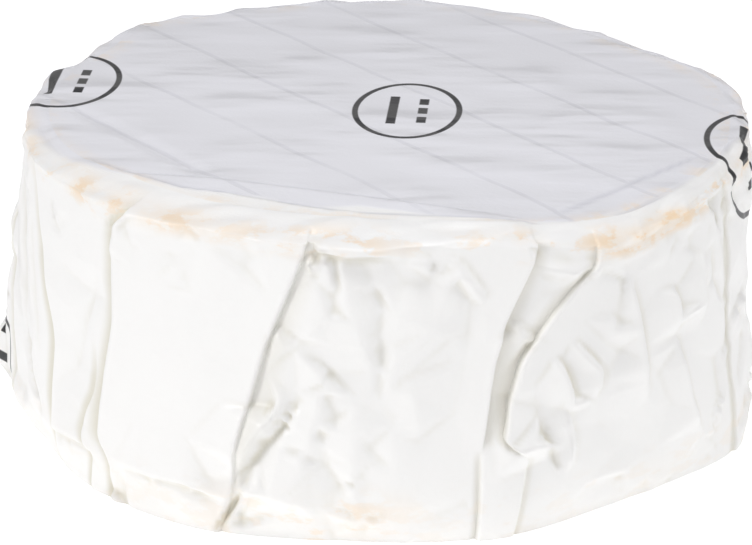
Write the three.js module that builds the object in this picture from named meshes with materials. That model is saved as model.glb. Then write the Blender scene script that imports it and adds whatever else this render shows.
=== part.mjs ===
// A soft-ripened cheese wheel, shut in thin wrapping paper that is pleated down its side.
// The paper clings to the wheel and hides all of it, so wheel and paper are one closed solid
// standing on a flat underside. Angles run from the front (-Y) towards the right (+X).
import * as THREE from 'three';

// Driving dimensions, in millimetres
const WHEEL_DIAMETER = 120;
const WHEEL_HEIGHT = 52;
const TOP_TILT = 1.2;          // how much lower the top lies at its right edge than at its left
const FOOT_HEIGHT = 7;         // height of the rounded turn from the side to the underside
const BASE_RIM_DROP = 1.8;     // usual drop from the top plane to the upper edge of the side
const SAG_SHARE = 0.35;        // share of any extra drop that the top itself follows
const SAG_POWER = 4;           // how late that sag sets in on the way out to the edge
const FOLD_HALF_WIDTH = 0.35;  // half the width of the steep face of a fold
const RAISED_SHARE = 0.6;      // share of a fold's step that stands proud, the rest sinks
const RAISED_WIDTH = 11;       // how far the proud side of a fold takes to die away
const SUNK_WIDTH = 7;          // how far the sunk side takes
const COLUMN_SPACING = 2.9;    // spacing of the mesh columns around the wheel, in degrees

// Rows of the mesh in each band of the profile, from the middle of the top to that of the underside
const TOP_RINGS = [0.45, 0.8];
const SHOULDER_ROWS = 5;
const WALL_ROWS = 17;
const FOOT_ROWS = 4;
const UNDERSIDE_RINGS = [0.72, 0.35];

const radius = WHEEL_DIAMETER / 2;
const radians = THREE.MathUtils.degToRad;
const lerp = THREE.MathUtils.lerp;

// The outline around the wheel. The paper pulls it into a rounded polygon with soft corners:
// [angle, rim radius, rim drop, shoulder width, foot radius, base radius], radii from the nominal one
const STATIONS = [
  [-165, 4.6, 1.8, 3.5, 2.2, 0.0],
  [-150, 4.4, 1.8, 3.5, 2.6, 0.6],
  [-138, 6.4, 1.8, 3.5, 3.0, 1.0],
  [-123, 1.4, 1.8, 3.5, 2.5, 0.5],
  [-106, 0.8, 1.8, 4.0, 3.6, 1.8],
  [-90, 0.1, 1.8, 4.0, 5.0, 2.0],
  [-70, 0.6, 1.8, 5.5, 2.4, 0.0],
  [-50, 0.3, 1.7, 7.0, 2.3, 1.0],
  [-27, 0.0, 1.3, 8.0, 2.0, 1.0],
  [-8, -0.2, 1.3, 8.0, 0.6, -1.6],
  [8, -0.4, 1.6, 6.5, 0.4, -1.5],
  [20, 0.3, 2.3, 4.5, 1.0, -0.8],
  [36, 1.8, 4.4, 3.8, 0.0, -3.0],
  [50, 1.5, 3.2, 3.6, 0.5, -2.2],
  [70, 0.7, 2.0, 3.5, 2.6, 2.4],
  [88, 0.3, 1.8, 3.5, 0.8, -1.4],
  [110, 1.7, 1.8, 3.5, 1.0, -1.0],
  [131, -0.8, 1.8, 3.5, -0.6, -2.6],
  [150, 1.2, 1.8, 3.5, 0.6, -1.4],
  [170, 4.0, 1.8, 3.5, 1.8, -0.4],
];
const [, RIM, DROP, SHOULDER, FOOT, BASE] = STATIONS[0].keys();

// The pleats of the side that stand at the front. Each is a path of [height, angle, step] from the rim
// down to the base, where a positive step raises the paper to the right of the path.
const FRONT_FOLDS = [
  [[50, -97, 0.3], [26, -96, 0.6], [0, -96, 0.6]],
  [[50, -85, -0.3], [26, -84, -0.6], [0, -82, -0.6]],
  [[50, -69.5, 0.1], [36, -64.8, 0.4], [22, -60.7, 0.5], [12, -61.4, 0.5], [0, -60.5, 0.3]],
  [[50, -49, 0.0], [26, -49.5, 0.0], [18.5, -49.2, 0.6], [12, -51.3, 1.1], [7.5, -49, 0.9], [0, -51, 0.7]],
  [[50, -41.7, 1.0], [47, -44.2, 1.8], [31, -44.1, 2.2], [11, -46.9, 2.1], [8, -44.6, 1.5], [0, -46, 0.9]],
  [[49.5, -11.8, -1.1], [43, -14.2, -1.4], [25.5, -20, -1.5], [15, -22.2, -0.9], [0, -26, -0.8]],
  [[49.8, 22.4, -1.3], [38, 17.4, -1.5], [22, 14.8, -1.3], [15, 14.1, 0.4], [0, 13.9, 1.2]],
  [[47, 32, 0.9], [38, 24.5, 1.2], [31, 20.2, 1.7], [19.5, 18, 2.3], [14.8, 21.2, -0.3], [0, 19.5, -0.5]],
  [[50, 63, 0.4], [30, 64.5, 0.7], [0, 68, 0.6]],
  [[50, 76, -0.5], [30, 75, -0.9], [0, 79, -0.7]],
];

// The pleats of the far side continue at the same spacing, leaning and overlapping in turn. Each stands
// out by the step, more or less, and by less at the rim and at the base.
const FAR_FOLDS = { count: 8, first: 97, spacing: 20.5, lean: 5, scatter: 4, step: 1.3, seed: 7 };
const FAR_STEP_SHARES = { least: 0.7, most: 1.3, atRim: 0.5, atBase: 0.7 };

// Sharp creases pressed into the panels: [height, angle, height, angle, depth, half width],
// each a straight ridge that dies away at both ends
const CREASES = [
  [26.5, -15.2, 19, -18.4, 1.4, 2.4],
  [19, -18.4, 11, -22.3, 1.2, 2.4],
  [47, -6.6, 30, -1.8, 0.9, 2.8],
  [40.4, -0.6, 35.4, 9.4, 0.8, 2.6],
  [40, -7.6, 34.4, -12.4, 0.7, 2.6],
  [29, -9, 15, -12, 0.7, 2.6],
  [25.5, -4.4, 5, -5, 0.6, 2.6],
  [29, 2.6, 18.5, 4.6, 0.8, 2.6],
  [31.6, 25, 20, 27.5, 1.0, 2.4],
  [34.2, 27.7, 23, 32.4, 0.9, 2.4],
  [45.2, 36.8, 19.4, 42.8, 1.0, 2.6],
  [39, 46.9, 7.2, 56.3, 0.9, 2.6],
  [22, 26.8, 10, 27.7, 0.7, 2.6],
  [39, -48.6, 15, -56.4, -0.8, 3.4],
  [14, -91, 3, -90, 1.2, 3.0],
];
const CREASE_END_TAPER = 0.12; // share of a half wave cut off where a crease ends

// A small seeded generator, so that the far side comes out the same every time
function seededDraw(seed) {
  const multiplier = 16807;
  const modulus = 2 ** 31 - 1;
  let state = seed;
  return () => {
    state = (state * multiplier) % modulus;
    return state / modulus;
  };
}

function farFolds({ count, first, spacing, lean, scatter, step, seed }) {
  const draw = seededDraw(seed);
  const { least, most, atRim, atBase } = FAR_STEP_SHARES;
  const rimHeight = WHEEL_HEIGHT - BASE_RIM_DROP;
  return Array.from({ length: count }, (_, i) => {
    const angle = first + i * spacing + scatter * (draw() - 0.5);
    const slant = lean * (draw() - 0.5);
    const side = i % 2 === 0 ? 1 : -1;
    const rise = side * step * lerp(least, most, draw());
    return [
      [rimHeight, angle - slant, atRim * rise],
      [rimHeight / 2, angle, rise],
      [0, angle + slant, atBase * rise],
    ];
  });
}

const folds = [...FRONT_FOLDS, ...farFolds(FAR_FOLDS)];

const wrap = THREE.MathUtils.euclideanModulo;
const turnBetween = (from, to) => wrap(to - from, 360);

// Value of one column of the stations at an angle, on a smooth closed curve through the stations
function around(column, angle) {
  const station = (i) => STATIONS[wrap(i, STATIONS.length)];
  const slope = (i) => (station(i + 1)[column] - station(i - 1)[column])
    / turnBetween(station(i - 1)[0], station(i + 1)[0]);
  const turned = turnBetween(STATIONS[0][0], angle);
  const i = STATIONS.findLastIndex((each) => turnBetween(STATIONS[0][0], each[0]) <= turned);
  const span = turnBetween(station(i)[0], station(i + 1)[0]);
  const t = turnBetween(station(i)[0], angle) / span;
  return station(i)[column] * (1 + 2 * t) * (1 - t) ** 2
    + station(i + 1)[column] * (3 - 2 * t) * t ** 2
    + span * slope(i) * t * (1 - t) ** 2
    - span * slope(i + 1) * (1 - t) * t ** 2;
}

// Angle and step of a fold at a height, straight between the points of its path
function foldAt(fold, height) {
  const below = Math.max(1, fold.findIndex((point) => point[0] <= height));
  const [z0, angle0, step0] = fold[below - 1];
  const [z1, angle1, step1] = fold[below];
  const share = THREE.MathUtils.clamp((height - z0) / (z1 - z0), 0, 1);
  return { angle: lerp(angle0, angle1, share), step: lerp(step0, step1, share) };
}

// Relief of one fold at a distance from its edge, on its right (+1) or left (-1) side
function foldRelief(step, side, distance) {
  const proud = Math.sign(step) === side;
  const share = proud ? RAISED_SHARE : RAISED_SHARE - 1;
  const width = proud ? RAISED_WIDTH : SUNK_WIDTH;
  const fade = Math.max(0, 1 - distance / width);
  return share * Math.abs(step) * fade * fade;
}

function creaseRelief(angle, height) {
  let relief = 0;
  for (const [z0, angle0, z1, angle1, depth, halfWidth] of CREASES) {
    const start = new THREE.Vector2(radius * radians(angle0), z0);
    const along = new THREE.Vector2(radius * radians(angle1), z1).sub(start);
    const place = new THREE.Vector2(radius * radians(angle), height).sub(start);
    const share = THREE.MathUtils.clamp(place.dot(along) / along.lengthSq(), 0, 1);
    const distance = place.distanceTo(along.clone().multiplyScalar(share));
    const taper = Math.sin(Math.PI * lerp(CREASE_END_TAPER, 1 - CREASE_END_TAPER, share));
    relief += depth * taper * Math.max(0, 1 - distance / halfWidth);
  }
  return relief;
}

// The mesh columns run along the folds, with one column on each side of every fold's steep face
function makeColumns() {
  return folds.flatMap((fold, i) => {
    const wraps = i === folds.length - 1;
    const next = folds[(i + 1) % folds.length];
    const turn = wraps ? 360 : 0;
    const middle = WHEEL_HEIGHT / 2;
    const width = foldAt(next, middle).angle + turn - foldAt(fold, middle).angle;
    const steps = Math.max(2, Math.round(width / COLUMN_SPACING));
    return Array.from({ length: steps + 1 }, (_, j) => ({ fold, next, turn, share: j / steps }));
  });
}

const steepFaceAngle = THREE.MathUtils.radToDeg(FOLD_HALF_WIDTH / radius);

// Angle and relief of a column at a height on the side
function columnAt({ fold, next, turn, share }, height) {
  const left = foldAt(fold, height);
  const right = foldAt(next, height);
  const start = left.angle + steepFaceAngle;
  const end = right.angle + turn - steepFaceAngle;
  const angle = lerp(start, end, share);
  const span = radius * radians(end - start);
  const relief = foldRelief(left.step, 1, span * share)
    + foldRelief(right.step, -1, span * (1 - share))
    + creaseRelief(angle, height);
  return { angle, relief };
}

function topPlane(distance, angle) {
  return WHEEL_HEIGHT - TOP_TILT * (0.5 + 0.5 * Math.sin(radians(angle)) * distance / radius);
}

// Radius and height of the upper edge of the side, and of the edge of the flat top inside it
function rimAt(angle) {
  const drop = around(DROP, angle);
  const rimRadius = radius + around(RIM, angle);
  const edgeRadius = rimRadius - around(SHOULDER, angle);
  const rimHeight = topPlane(rimRadius, angle) - drop;
  const edgeHeight = topPlane(edgeRadius, angle) - SAG_SHARE * (drop - BASE_RIM_DROP);
  return { rimRadius, rimHeight, edgeRadius, edgeHeight: Math.min(edgeHeight, WHEEL_HEIGHT) };
}

const onCircle = (distance, angle, z) => new THREE.Vector3(
  distance * Math.sin(radians(angle)),
  -distance * Math.cos(radians(angle)),
  z,
);

// Points of one column from the top's inner ring, over the shoulder and down the side, to the underside
function columnPoints(column) {
  const points = [];
  const upper = columnAt(column, WHEEL_HEIGHT - BASE_RIM_DROP);
  const rim = rimAt(upper.angle);
  for (const share of TOP_RINGS) {
    const sag = topPlane(rim.edgeRadius, upper.angle) - rim.edgeHeight;
    const height = topPlane(share * rim.edgeRadius, upper.angle) - sag * share ** SAG_POWER;
    points.push(onCircle(share * rim.edgeRadius, upper.angle, height));
  }
  for (let row = 0; row < SHOULDER_ROWS; row += 1) {
    const share = row / SHOULDER_ROWS;
    const turn = share * Math.PI / 2;
    const reach = lerp(rim.edgeRadius, rim.rimRadius, Math.sin(turn)) + share ** 2 * upper.relief;
    points.push(onCircle(reach, upper.angle, lerp(rim.rimHeight, rim.edgeHeight, Math.cos(turn))));
  }
  for (let row = 0; row < WALL_ROWS; row += 1) {
    const share = row / WALL_ROWS;
    const { angle, relief } = columnAt(column, lerp(WHEEL_HEIGHT - BASE_RIM_DROP, FOOT_HEIGHT, share));
    const { rimRadius, rimHeight } = rimAt(angle);
    const reach = lerp(rimRadius, radius + around(FOOT, angle), share) + relief;
    points.push(onCircle(reach, angle, lerp(rimHeight, FOOT_HEIGHT, share)));
  }
  const lower = columnAt(column, FOOT_HEIGHT);
  const footRadius = radius + around(FOOT, lower.angle);
  const baseRadius = radius + around(BASE, lower.angle);
  for (let row = 0; row <= FOOT_ROWS; row += 1) {
    const turn = (row / FOOT_ROWS) * Math.PI / 2;
    const height = FOOT_HEIGHT * (1 - Math.sin(turn));
    const { angle, relief } = columnAt(column, height);
    points.push(onCircle(lerp(baseRadius, footRadius, Math.cos(turn)) + relief, angle, height));
  }
  const { angle } = columnAt(column, 0);
  for (const share of UNDERSIDE_RINGS) {
    points.push(onCircle(share * baseRadius, angle, 0));
  }
  return points;
}

// Close the columns into a ring, with a fan at the middle of the top and another under it
function wrappedWheelGeometry() {
  const columns = makeColumns().map(columnPoints);
  const rows = columns[0].length;
  const count = columns.length;
  const positions = columns.flat().flatMap((point) => point.toArray());
  const topCentre = count * rows;
  const underCentre = topCentre + 1;
  positions.push(0, 0, topPlane(0, 0), 0, 0, 0);
  const index = [];
  for (let i = 0; i < count; i += 1) {
    const here = i * rows;
    const beside = ((i + 1) % count) * rows;
    index.push(topCentre, here, beside);
    for (let row = 0; row < rows - 1; row += 1) {
      index.push(here + row, here + row + 1, beside + row);
      index.push(beside + row, here + row + 1, beside + row + 1);
    }
    index.push(underCentre, beside + rows - 1, here + rows - 1);
  }
  const geometry = new THREE.BufferGeometry();
  geometry.setAttribute('position', new THREE.Float32BufferAttribute(positions, 3));
  geometry.setIndex(index);
  geometry.computeBoundingBox();
  const middle = geometry.boundingBox.getCenter(new THREE.Vector3());
  geometry.translate(-middle.x, -middle.y, 0);
  geometry.computeVertexNormals();
  return geometry;
}

// Satin white paper, warmed by the rind behind it
const wrappingPaper = new THREE.MeshStandardMaterial({ color: 0xf4f2ee, roughness: 0.5, metalness: 0 });

const wrappedWheel = new THREE.Mesh(wrappedWheelGeometry(), wrappingPaper);
wrappedWheel.name = 'wrapped_wheel';

const cheese = new THREE.Group();
cheese.add(wrappedWheel);

export default cheese;
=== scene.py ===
import math

import bpy
import numpy as np
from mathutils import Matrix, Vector
from mathutils.bvhtree import BVHTree
from mathutils.geometry import delaunay_2d_cdt


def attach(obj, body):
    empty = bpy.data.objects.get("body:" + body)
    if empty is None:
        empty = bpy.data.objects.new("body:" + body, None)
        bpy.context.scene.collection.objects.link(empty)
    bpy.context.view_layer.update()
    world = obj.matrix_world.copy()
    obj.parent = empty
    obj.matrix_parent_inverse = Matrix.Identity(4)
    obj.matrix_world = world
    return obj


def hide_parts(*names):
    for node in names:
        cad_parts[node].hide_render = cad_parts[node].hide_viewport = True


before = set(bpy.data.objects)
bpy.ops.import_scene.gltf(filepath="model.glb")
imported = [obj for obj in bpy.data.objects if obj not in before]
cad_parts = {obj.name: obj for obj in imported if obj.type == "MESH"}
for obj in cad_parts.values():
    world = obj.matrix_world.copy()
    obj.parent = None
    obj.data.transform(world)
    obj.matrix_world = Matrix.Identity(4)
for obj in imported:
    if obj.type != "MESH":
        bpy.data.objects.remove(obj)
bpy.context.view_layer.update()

# THE WRAPPING PAPER
# One sheet of thin satin white paper, laid over the wheel and drawn down its side in overlapping
# pleats, then folded under. It hides the whole wheel. The rind shows through it where the paper
# is pressed against the upper and lower edges, and the pleats crease sharply as paper does.

MM = 0.001                      # sizes are in millimetres and angles in degrees
WHEEL_RADIUS = 60.0
WHEEL_HEIGHT = 52.0
WHEEL_AXIS = (2.291, -2.061)    # where the wheel's axis stands, as bunched paper shifts the box
TOP_TILT = 1.2                  # how much lower the top lies at its right edge than at its left
FOOT_HEIGHT = 7.0               # height of the turn from the side to the underside
BASE_RIM_DROP = 1.8             # usual drop from the top to the upper edge of the side
SAG_SHARE = 0.35                # share of any extra drop that the top follows
SAG_POWER = 4                   # how late that sag sets in on the way out
FRONT_ROUND = 1.4               # 2 rounds an edge off as an ellipse, 1 cuts it flat
FAR_ROUND = 2.1
ROUND_MIDDLE = -20              # angle of the middle of the flatter front
ROUND_CHANGE = (50, 80)         # how far round from there the change to the far side lies

# Around the wheel, from the front towards the right:
# angle, rim radius, rim drop, shoulder width, foot radius, base radius, radii from the wheel's own
OUTLINE = np.array([
    (-165, 4.6, 1.8, 3.5, 2.2, 0.0),
    (-150, 4.4, 1.8, 3.5, 2.6, 0.6),
    (-138, 6.4, 1.8, 3.5, 3.0, 1.0),
    (-123, 1.4, 1.8, 3.5, 2.5, 0.5),
    (-106, 0.8, 1.8, 4.0, 3.6, 1.8),
    (-90, 0.1, 1.8, 4.0, 5.0, 2.0),
    (-70, 0.6, 1.8, 5.5, 2.4, 0.0),
    (-50, 0.3, 1.7, 7.0, 2.3, 1.0),
    (-27, 0.0, 1.3, 8.0, 2.0, 1.0),
    (-8, -0.2, 1.3, 8.0, 0.6, -1.6),
    (8, -0.4, 1.6, 6.5, 0.4, -1.5),
    (20, 0.3, 2.3, 4.5, 1.0, -0.8),
    (36, 1.8, 4.4, 3.8, 0.0, -3.0),
    (50, 1.5, 3.2, 3.6, 0.5, -2.2),
    (70, 0.7, 2.0, 3.5, 2.6, 2.4),
    (88, 0.3, 1.8, 3.5, 0.8, -1.4),
    (110, 1.7, 1.8, 3.5, 1.0, -1.0),
    (131, -0.8, 1.8, 3.5, -0.6, -2.6),
    (150, 1.2, 1.8, 3.5, 0.6, -1.4),
    (170, 4.0, 1.8, 3.5, 1.8, -0.4),
])
RIM, DROP, SHOULDER, FOOT, BASE = range(1, 6)

# Pleats at the front, each with the strength of the painted shade in its crevice and a path of height,
# angle, step and crevice width from the rim down. A positive step raises the paper to the right of the path.
FRONT_PLEATS = [
    (0.6, [(50, -97, 0.3, 2.0), (26, -96, 0.6, 2.0), (0, -96, 0.6, 2.0)]),
    (0.6, [(50, -85, -0.3, 2.0), (26, -84, -0.6, 2.0), (0, -82, -0.6, 2.0)]),
    (1.0, [(50, -69.5, 0.1, 2.0), (40, -66, 0.3, 2.4), (36, -64.8, 0.4, 3.0), (27, -62, 0.5, 3.4),
           (22, -60.7, 0.5, 3.4), (12, -61.4, 0.5, 3.0), (7, -60.5, 0.4, 2.0), (0, -60.5, 0.3, 1.6)]),
    (0.9, [(50, -49, 0.0, 2.0), (26, -49.5, 0.0, 2.0), (18.5, -49.2, 0.6, 2.0), (12, -51.3, 1.1, 2.4),
           (9.2, -51.2, 1.1, 2.0), (7.5, -49, 0.9, 1.6), (0, -51, 0.7, 1.2)]),
    (1.0, [(50, -41.7, 1.0, 2.4), (47, -44.2, 1.8, 3.4), (38, -44.4, 2.1, 3.6), (31, -44.1, 2.2, 3.6),
           (22, -45.8, 2.3, 4.2), (11, -46.9, 2.1, 4.2), (8, -44.6, 1.5, 2.0), (0, -46, 0.9, 1.4)]),
    (0.3, [(49.5, -11.8, -1.1, 3.0), (43, -14.2, -1.4, 4.2), (33, -18, -1.5, 5.5), (25.5, -20, -1.5, 6.0),
           (20, -21.2, -1.2, 5.0), (15, -22.2, -0.9, 3.5), (7.5, -23.2, -0.8, 2.4), (0, -26, -0.8, 1.6)]),
    (0.4, [(49.8, 22.4, -1.3, 2.2), (43.5, 19.8, -1.5, 2.8), (38, 17.4, -1.5, 3.6), (31, 15.8, -1.5, 3.6),
           (22, 14.8, -1.3, 3.0), (18, 14.4, -0.7, 1.6), (15, 14.1, 0.4, 1.2), (9, 14.1, 1.1, 1.2),
           (0, 13.9, 1.2, 1.0)]),
    (0.5, [(47, 32, 0.9, 1.8), (45, 29.8, 1.1, 2.4), (38, 24.5, 1.2, 3.0), (31, 20.2, 1.7, 3.2),
           (24, 18.6, 2.1, 3.0), (19.5, 18, 2.3, 2.4), (17.4, 17.2, 1.4, 1.6), (14.8, 21.2, -0.3, 1.2),
           (6, 20.2, -0.5, 1.2), (0, 19.5, -0.5, 1.2)]),
    (0.6, [(50, 63, 0.4, 2.0), (30, 64.5, 0.7, 2.0), (0, 68, 0.6, 2.0)]),
    (0.6, [(50, 76, -0.5, 2.0), (30, 75, -0.9, 2.0), (0, 79, -0.7, 2.0)]),
]
PLEAT_FACE = 0.35         # half the width of a pleat's steep face
PLEAT_OVERHANG = 0.22     # how far a raised edge leans over the crevice, as a share of its height
RAISED_SHARE = 0.5        # share of a pleat's step that stands proud, the rest sinks
RAISED_WIDTH = 10.0       # how far the proud side of a pleat takes to die away
SUNK_WIDTH = 7.0          # how far the sunk side takes
CREVICE_SHARE = 0.7       # share of the sunk side that lies in the narrow crevice
CREVICE_POWER = 1.4       # how steeply the crevice falls in
FULL_SHADE_STEP = 0.5      # a crevice at a smaller step gets less painted shade
FULL_SHADE_DEPTH = 0.8     # share of the way into a crevice at which its painted shade is full


def far_pleats(count=8, first=97.0, spacing=20.5, lean=5.0, scatter=4.0, step=1.3, crevice_shade=0.6, seed=7):
    """Pleats of the unseen side, leaning and overlapping in turn."""
    draw = np.random.default_rng(seed)
    pleats = []
    for i in range(count):
        angle = first + i * spacing + scatter * draw.uniform(-0.5, 0.5)
        slant = lean * draw.uniform(-0.5, 0.5)
        rise = step * draw.uniform(0.7, 1.4) * (1 if i % 2 == 0 else -1)
        pleats.append((crevice_shade, [
            (50, angle - slant, 0.5 * rise, 1.8),
            (38, angle - 0.4 * slant + draw.uniform(-1, 1), rise, 2.4),
            (16, angle + 0.6 * slant + draw.uniform(-1, 1), rise, 2.6),
            (0, angle + slant, 0.6 * rise, 1.8),
        ]))
    return pleats


PLEATS = FRONT_PLEATS + far_pleats()
CREVICE_SHADE_STRENGTHS = [crevice_shade for crevice_shade, _ in PLEATS]


def around(column, angle):
    """One column of the outline at an angle, on a smooth closed curve through its stations."""
    angles = np.concatenate([OUTLINE[-2:, 0] - 360, OUTLINE[:, 0], OUTLINE[:3, 0] + 360])
    values = np.concatenate([OUTLINE[-2:, column], OUTLINE[:, column], OUTLINE[:3, column]])
    slopes = np.zeros_like(values)
    slopes[1:-1] = (values[2:] - values[:-2]) / (angles[2:] - angles[:-2])
    turned = (np.asarray(angle) - OUTLINE[0, 0]) % 360 + OUTLINE[0, 0]
    i = np.searchsorted(angles, turned, side="right") - 1
    span = angles[i + 1] - angles[i]
    t = (turned - angles[i]) / span
    return (values[i] * (1 + 2 * t) * (1 - t) ** 2 + values[i + 1] * (3 - 2 * t) * t ** 2
            + span * slopes[i] * t * (1 - t) ** 2 - span * slopes[i + 1] * (1 - t) * t ** 2)


def along_pleats(height):
    """Angle, step and crevice width of every pleat at a height, with the path's corners eased."""
    spread = (-1.2, -0.6, 0.0, 0.6, 1.2)
    rows = []
    for _, path in PLEATS:
        points = np.array(path[::-1], dtype=float)
        reads = [[np.interp(height + d, points[:, 0], points[:, c]) for d in spread] for c in (1, 2, 3)]
        rows.append(np.mean(reads, axis=1))
    return np.array(rows).T


def smooth(low, high, value):
    """Eased rise from 0 at the low value to 1 at the high one."""
    t = np.clip((value - low) / (high - low), 0, 1)
    return t * t * (3 - 2 * t)


def beside_pleat(step, side, distance, crevice):
    """Height of the paper beside a pleat's edge, on its right (+1) or left (-1), and the painted shade of
    its crevice there.
    """
    proud = np.sign(step) == side
    fade = np.clip(1 - distance / (RAISED_WIDTH if proud else SUNK_WIDTH), 0, 1)
    if proud:
        return np.array([RAISED_SHARE * abs(step) * fade ** 2, 0 * distance])
    narrow = np.clip(1 - distance / crevice, 0, 1)
    sunk = CREVICE_SHARE * narrow ** CREVICE_POWER + (1 - CREVICE_SHARE) * fade ** 2
    # painted shade in the crevice, stronger deeper in and at a taller step
    crevice_shade = min(abs(step) / FULL_SHADE_STEP, 1) * smooth(0, FULL_SHADE_DEPTH, narrow)
    return np.array([(RAISED_SHARE - 1) * abs(step) * sunk, crevice_shade])


# Creases pressed into the panels, or dents where the height is negative. Each is a height, its
# width on the left of the path (or below it) and on the right (or above), and a path of angle
# and height along the side.
FRONT_CREASES = [
    (1.6, 2.6, 1.5, [(-15.2, 26.5), (-16.2, 22.5), (-18.6, 18.8), (-20.8, 15), (-22.3, 11)]),
    (-0.6, 1.2, 3.5, [(-13.2, 26), (-13.2, 23.2), (-15.2, 19.6), (-18, 16.4), (-20, 13), (-20.8, 10)]),
    (1, 2.2, 3.0, [(-6.6, 47), (-5.8, 42), (-4.4, 38), (-2.8, 33.5), (-1.8, 30)]),
    (1, 3.0, 1.8, [(-0.6, 40.4), (4.8, 38.6), (9.4, 35.4)]),
    (0.8, 2.0, 2.5, [(-7.6, 40), (-12.4, 34.4)]),
    (0.7, 2.2, 1.6, [(-17.4, 36), (-13.6, 32.6)]),
    (0.9, 2.5, 0.9, [(-9.2, 31), (-8.8, 25.6)]),
    (0.7, 3.5, 2.0, [(-9, 29), (-10.2, 22), (-12, 15)]),
    (0.7, 2.5, 1.8, [(-4.4, 25.5), (-4.8, 15), (-5, 5)]),
    (0.6, 2.5, 1.8, [(0.8, 22.5), (1.2, 13), (0.8, 4)]),
    (-0.35, 1.0, 2.6, [(-0.9, 35.4), (-0.7, 29.6)]),
    (0.8, 1.8, 2.5, [(2.6, 29), (4.4, 24.5), (4.6, 18.5)]),
    (-0.35, 1.0, 1.3, [(-1.9, 44.2), (-0.2, 40.4)]),
    (0.7, 0.9, 1.5, [(2.4, 48.2), (8, 46.8)]),
    (0.7, 1.5, 1.5, [(8.8, 48.8), (11.6, 45.4), (14.4, 41)]),
    (0.5, 1.8, 0.8, [(-13.6, 16.6), (-11.4, 12)]),
    (1, 0.7, 2.5, [(-13, 48.4), (-9.8, 49.5), (-5.7, 48.9), (2.6, 49.6)]),
    (0.7, 1.0, 1.0, [(-11.6, 48.8), (-10.4, 44.4)]),
    (1.2, 2.6, 0.9, [(25, 31.6), (26.4, 28.8), (27.9, 25), (28.2, 21)]),
    (1, 2.6, 0.9, [(27.7, 34.2), (30.6, 30.8), (33, 28), (32.4, 22.5)]),
    (0.6, 2.0, 1.0, [(34.3, 38.6), (35.2, 35.5), (33.8, 33)]),
    (1.2, 3.2, 1.0, [(36.8, 45.2), (38.5, 39), (40.5, 30.5), (42.8, 19.4)]),
    (1.1, 2.8, 0.9, [(46.9, 39), (49.2, 30.6)]),
    (1.1, 2.8, 0.9, [(48.2, 29.4), (52.3, 16.3), (56.3, 7.2)]),
    (-1.2, 0.8, 0.9, [(55.9, 50.4), (58.9, 48.4), (60.4, 43.4)]),
    (0.9, 2.4, 1.0, [(54.9, 42), (54.1, 37), (55.8, 30)]),
    (-0.6, 1.8, 2.5, [(21.8, 26), (23.5, 19), (24.8, 15)]),
    (0.7, 2.0, 1.5, [(26.8, 22), (28.2, 15.5), (27.7, 10)]),
    (-0.5, 1.4, 1.0, [(25.2, 15.4), (26.3, 10.4)]),
    (1.2, 0.6, 3.0, [(15.8, 16.2), (19, 15.9), (22.5, 17), (25.6, 15.6)]),
    (-0.3, 1.2, 1.2, [(31, 46.2), (33.8, 45.6), (37, 43.8), (36.3, 40.6)]),
    (0.7, 1.2, 1.2, [(18.4, 38.6), (20, 35), (23.2, 34.4)]),
    (0.9, 1.0, 3.0, [(22.4, 46.8), (30, 46.2)]),
    (-0.4, 2.0, 2.4, [(-31.4, 47), (-31.2, 38)]),
    (-0.35, 2.0, 2.2, [(-28, 39), (-27.3, 29)]),
    (-0.5, 1.8, 2.0, [(-20.4, 49), (-21.6, 43)]),
    (-1, 4.0, 3.4, [(-48.6, 39), (-53, 28), (-56.4, 15)]),
    (0.7, 1.6, 1.0, [(-72, 44), (-70, 30), (-68, 16)]),
    (0.8, 1.4, 1.0, [(-79, 47), (-76, 34), (-75, 20)]),
    (-0.8, 1.0, 1.4, [(-73, 20), (-70, 12), (-66, 8)]),
    (0.9, 0.5, 3.0, [(-43.6, 8.3), (-37, 8), (-30.4, 8.3), (-23.6, 7)]),
    (0.7, 0.5, 2.4, [(-62, 7.4), (-53.6, 8.4), (-48, 8.2)]),
    (-1.3, 0.8, 0.9, [(-21.9, 7.8), (-23.4, 4.8), (-25.1, 2.7), (-26.4, 0)]),
    (-1.2, 0.6, 0.7, [(-22.9, 4.6), (-21.7, 1)]),
    (-1.2, 0.6, 0.6, [(-46.4, 1), (-42, 1.6)]),
    (0.9, 0.8, 1.0, [(-40.8, 50), (-44, 47.8), (-46.6, 46.2)]),
    (0.9, 0.6, 2.4, [(-23, 8.8), (-18.8, 8.8), (-11, 7.0)]),
    (0.5, 1.6, 0.9, [(-10, 6.4), (-4, 4.4), (2, 5.2)]),
    (0.6, 1.4, 1.4, [(61, 22), (62.5, 14), (60, 7)]),
    (1.3, 3.0, 3.0, [(-91, 15), (-91, 8), (-90, 2)]),
    (-1.2, 5.0, 5.0, [(-88, 49), (-88, 36), (-89, 25)]),
    (-0.5, 0.5, 0.6, [(-12.6, 47.9), (-9.6, 48.8), (-5.6, 48.2), (0, 48.6)]),
    (-0.3, 0.7, 0.6, [(-43.2, 7.5), (-37, 7.2), (-30.4, 7.5), (-24, 6.3)]),
    (-0.3, 0.7, 0.6, [(-61.6, 6.6), (-53.6, 7.6), (-48.4, 7.4)]),
]
CREASE_DEPTH = 1.6         # how much deeper than listed the creases of the front are pressed
STEEP_WIDTH = 1.7          # a flank up to this width has a foot of its own, a wider one runs on as a facet
CREASE_TAPER = 0.25        # share of a crease over which each end dies away
CREASE_END = 0.1           # height left at its very end, as a share
CREST_SPACING = 1.4
FOOT_CLEARANCE = 0.7       # how far a foot keeps from any crest
CIRCUMFERENCE = 2 * math.pi * WHEEL_RADIUS

# How far the flat facets between the creases stand in or out: angle, depth
CRUMPLE = np.array([
    (-180, 1.0), (-120, 1.0), (-85, 1.0), (-60, 0.7), (-46, 0.6), (-43, 0.12), (-24, 0.12), (-19, 1.0),
    (12, 0.8), (15, 0.2), (21, 0.2), (24, 0.6), (40, 0.5), (58, 0.7), (75, 1.1), (120, 1.0), (180, 1.0),
])


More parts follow.
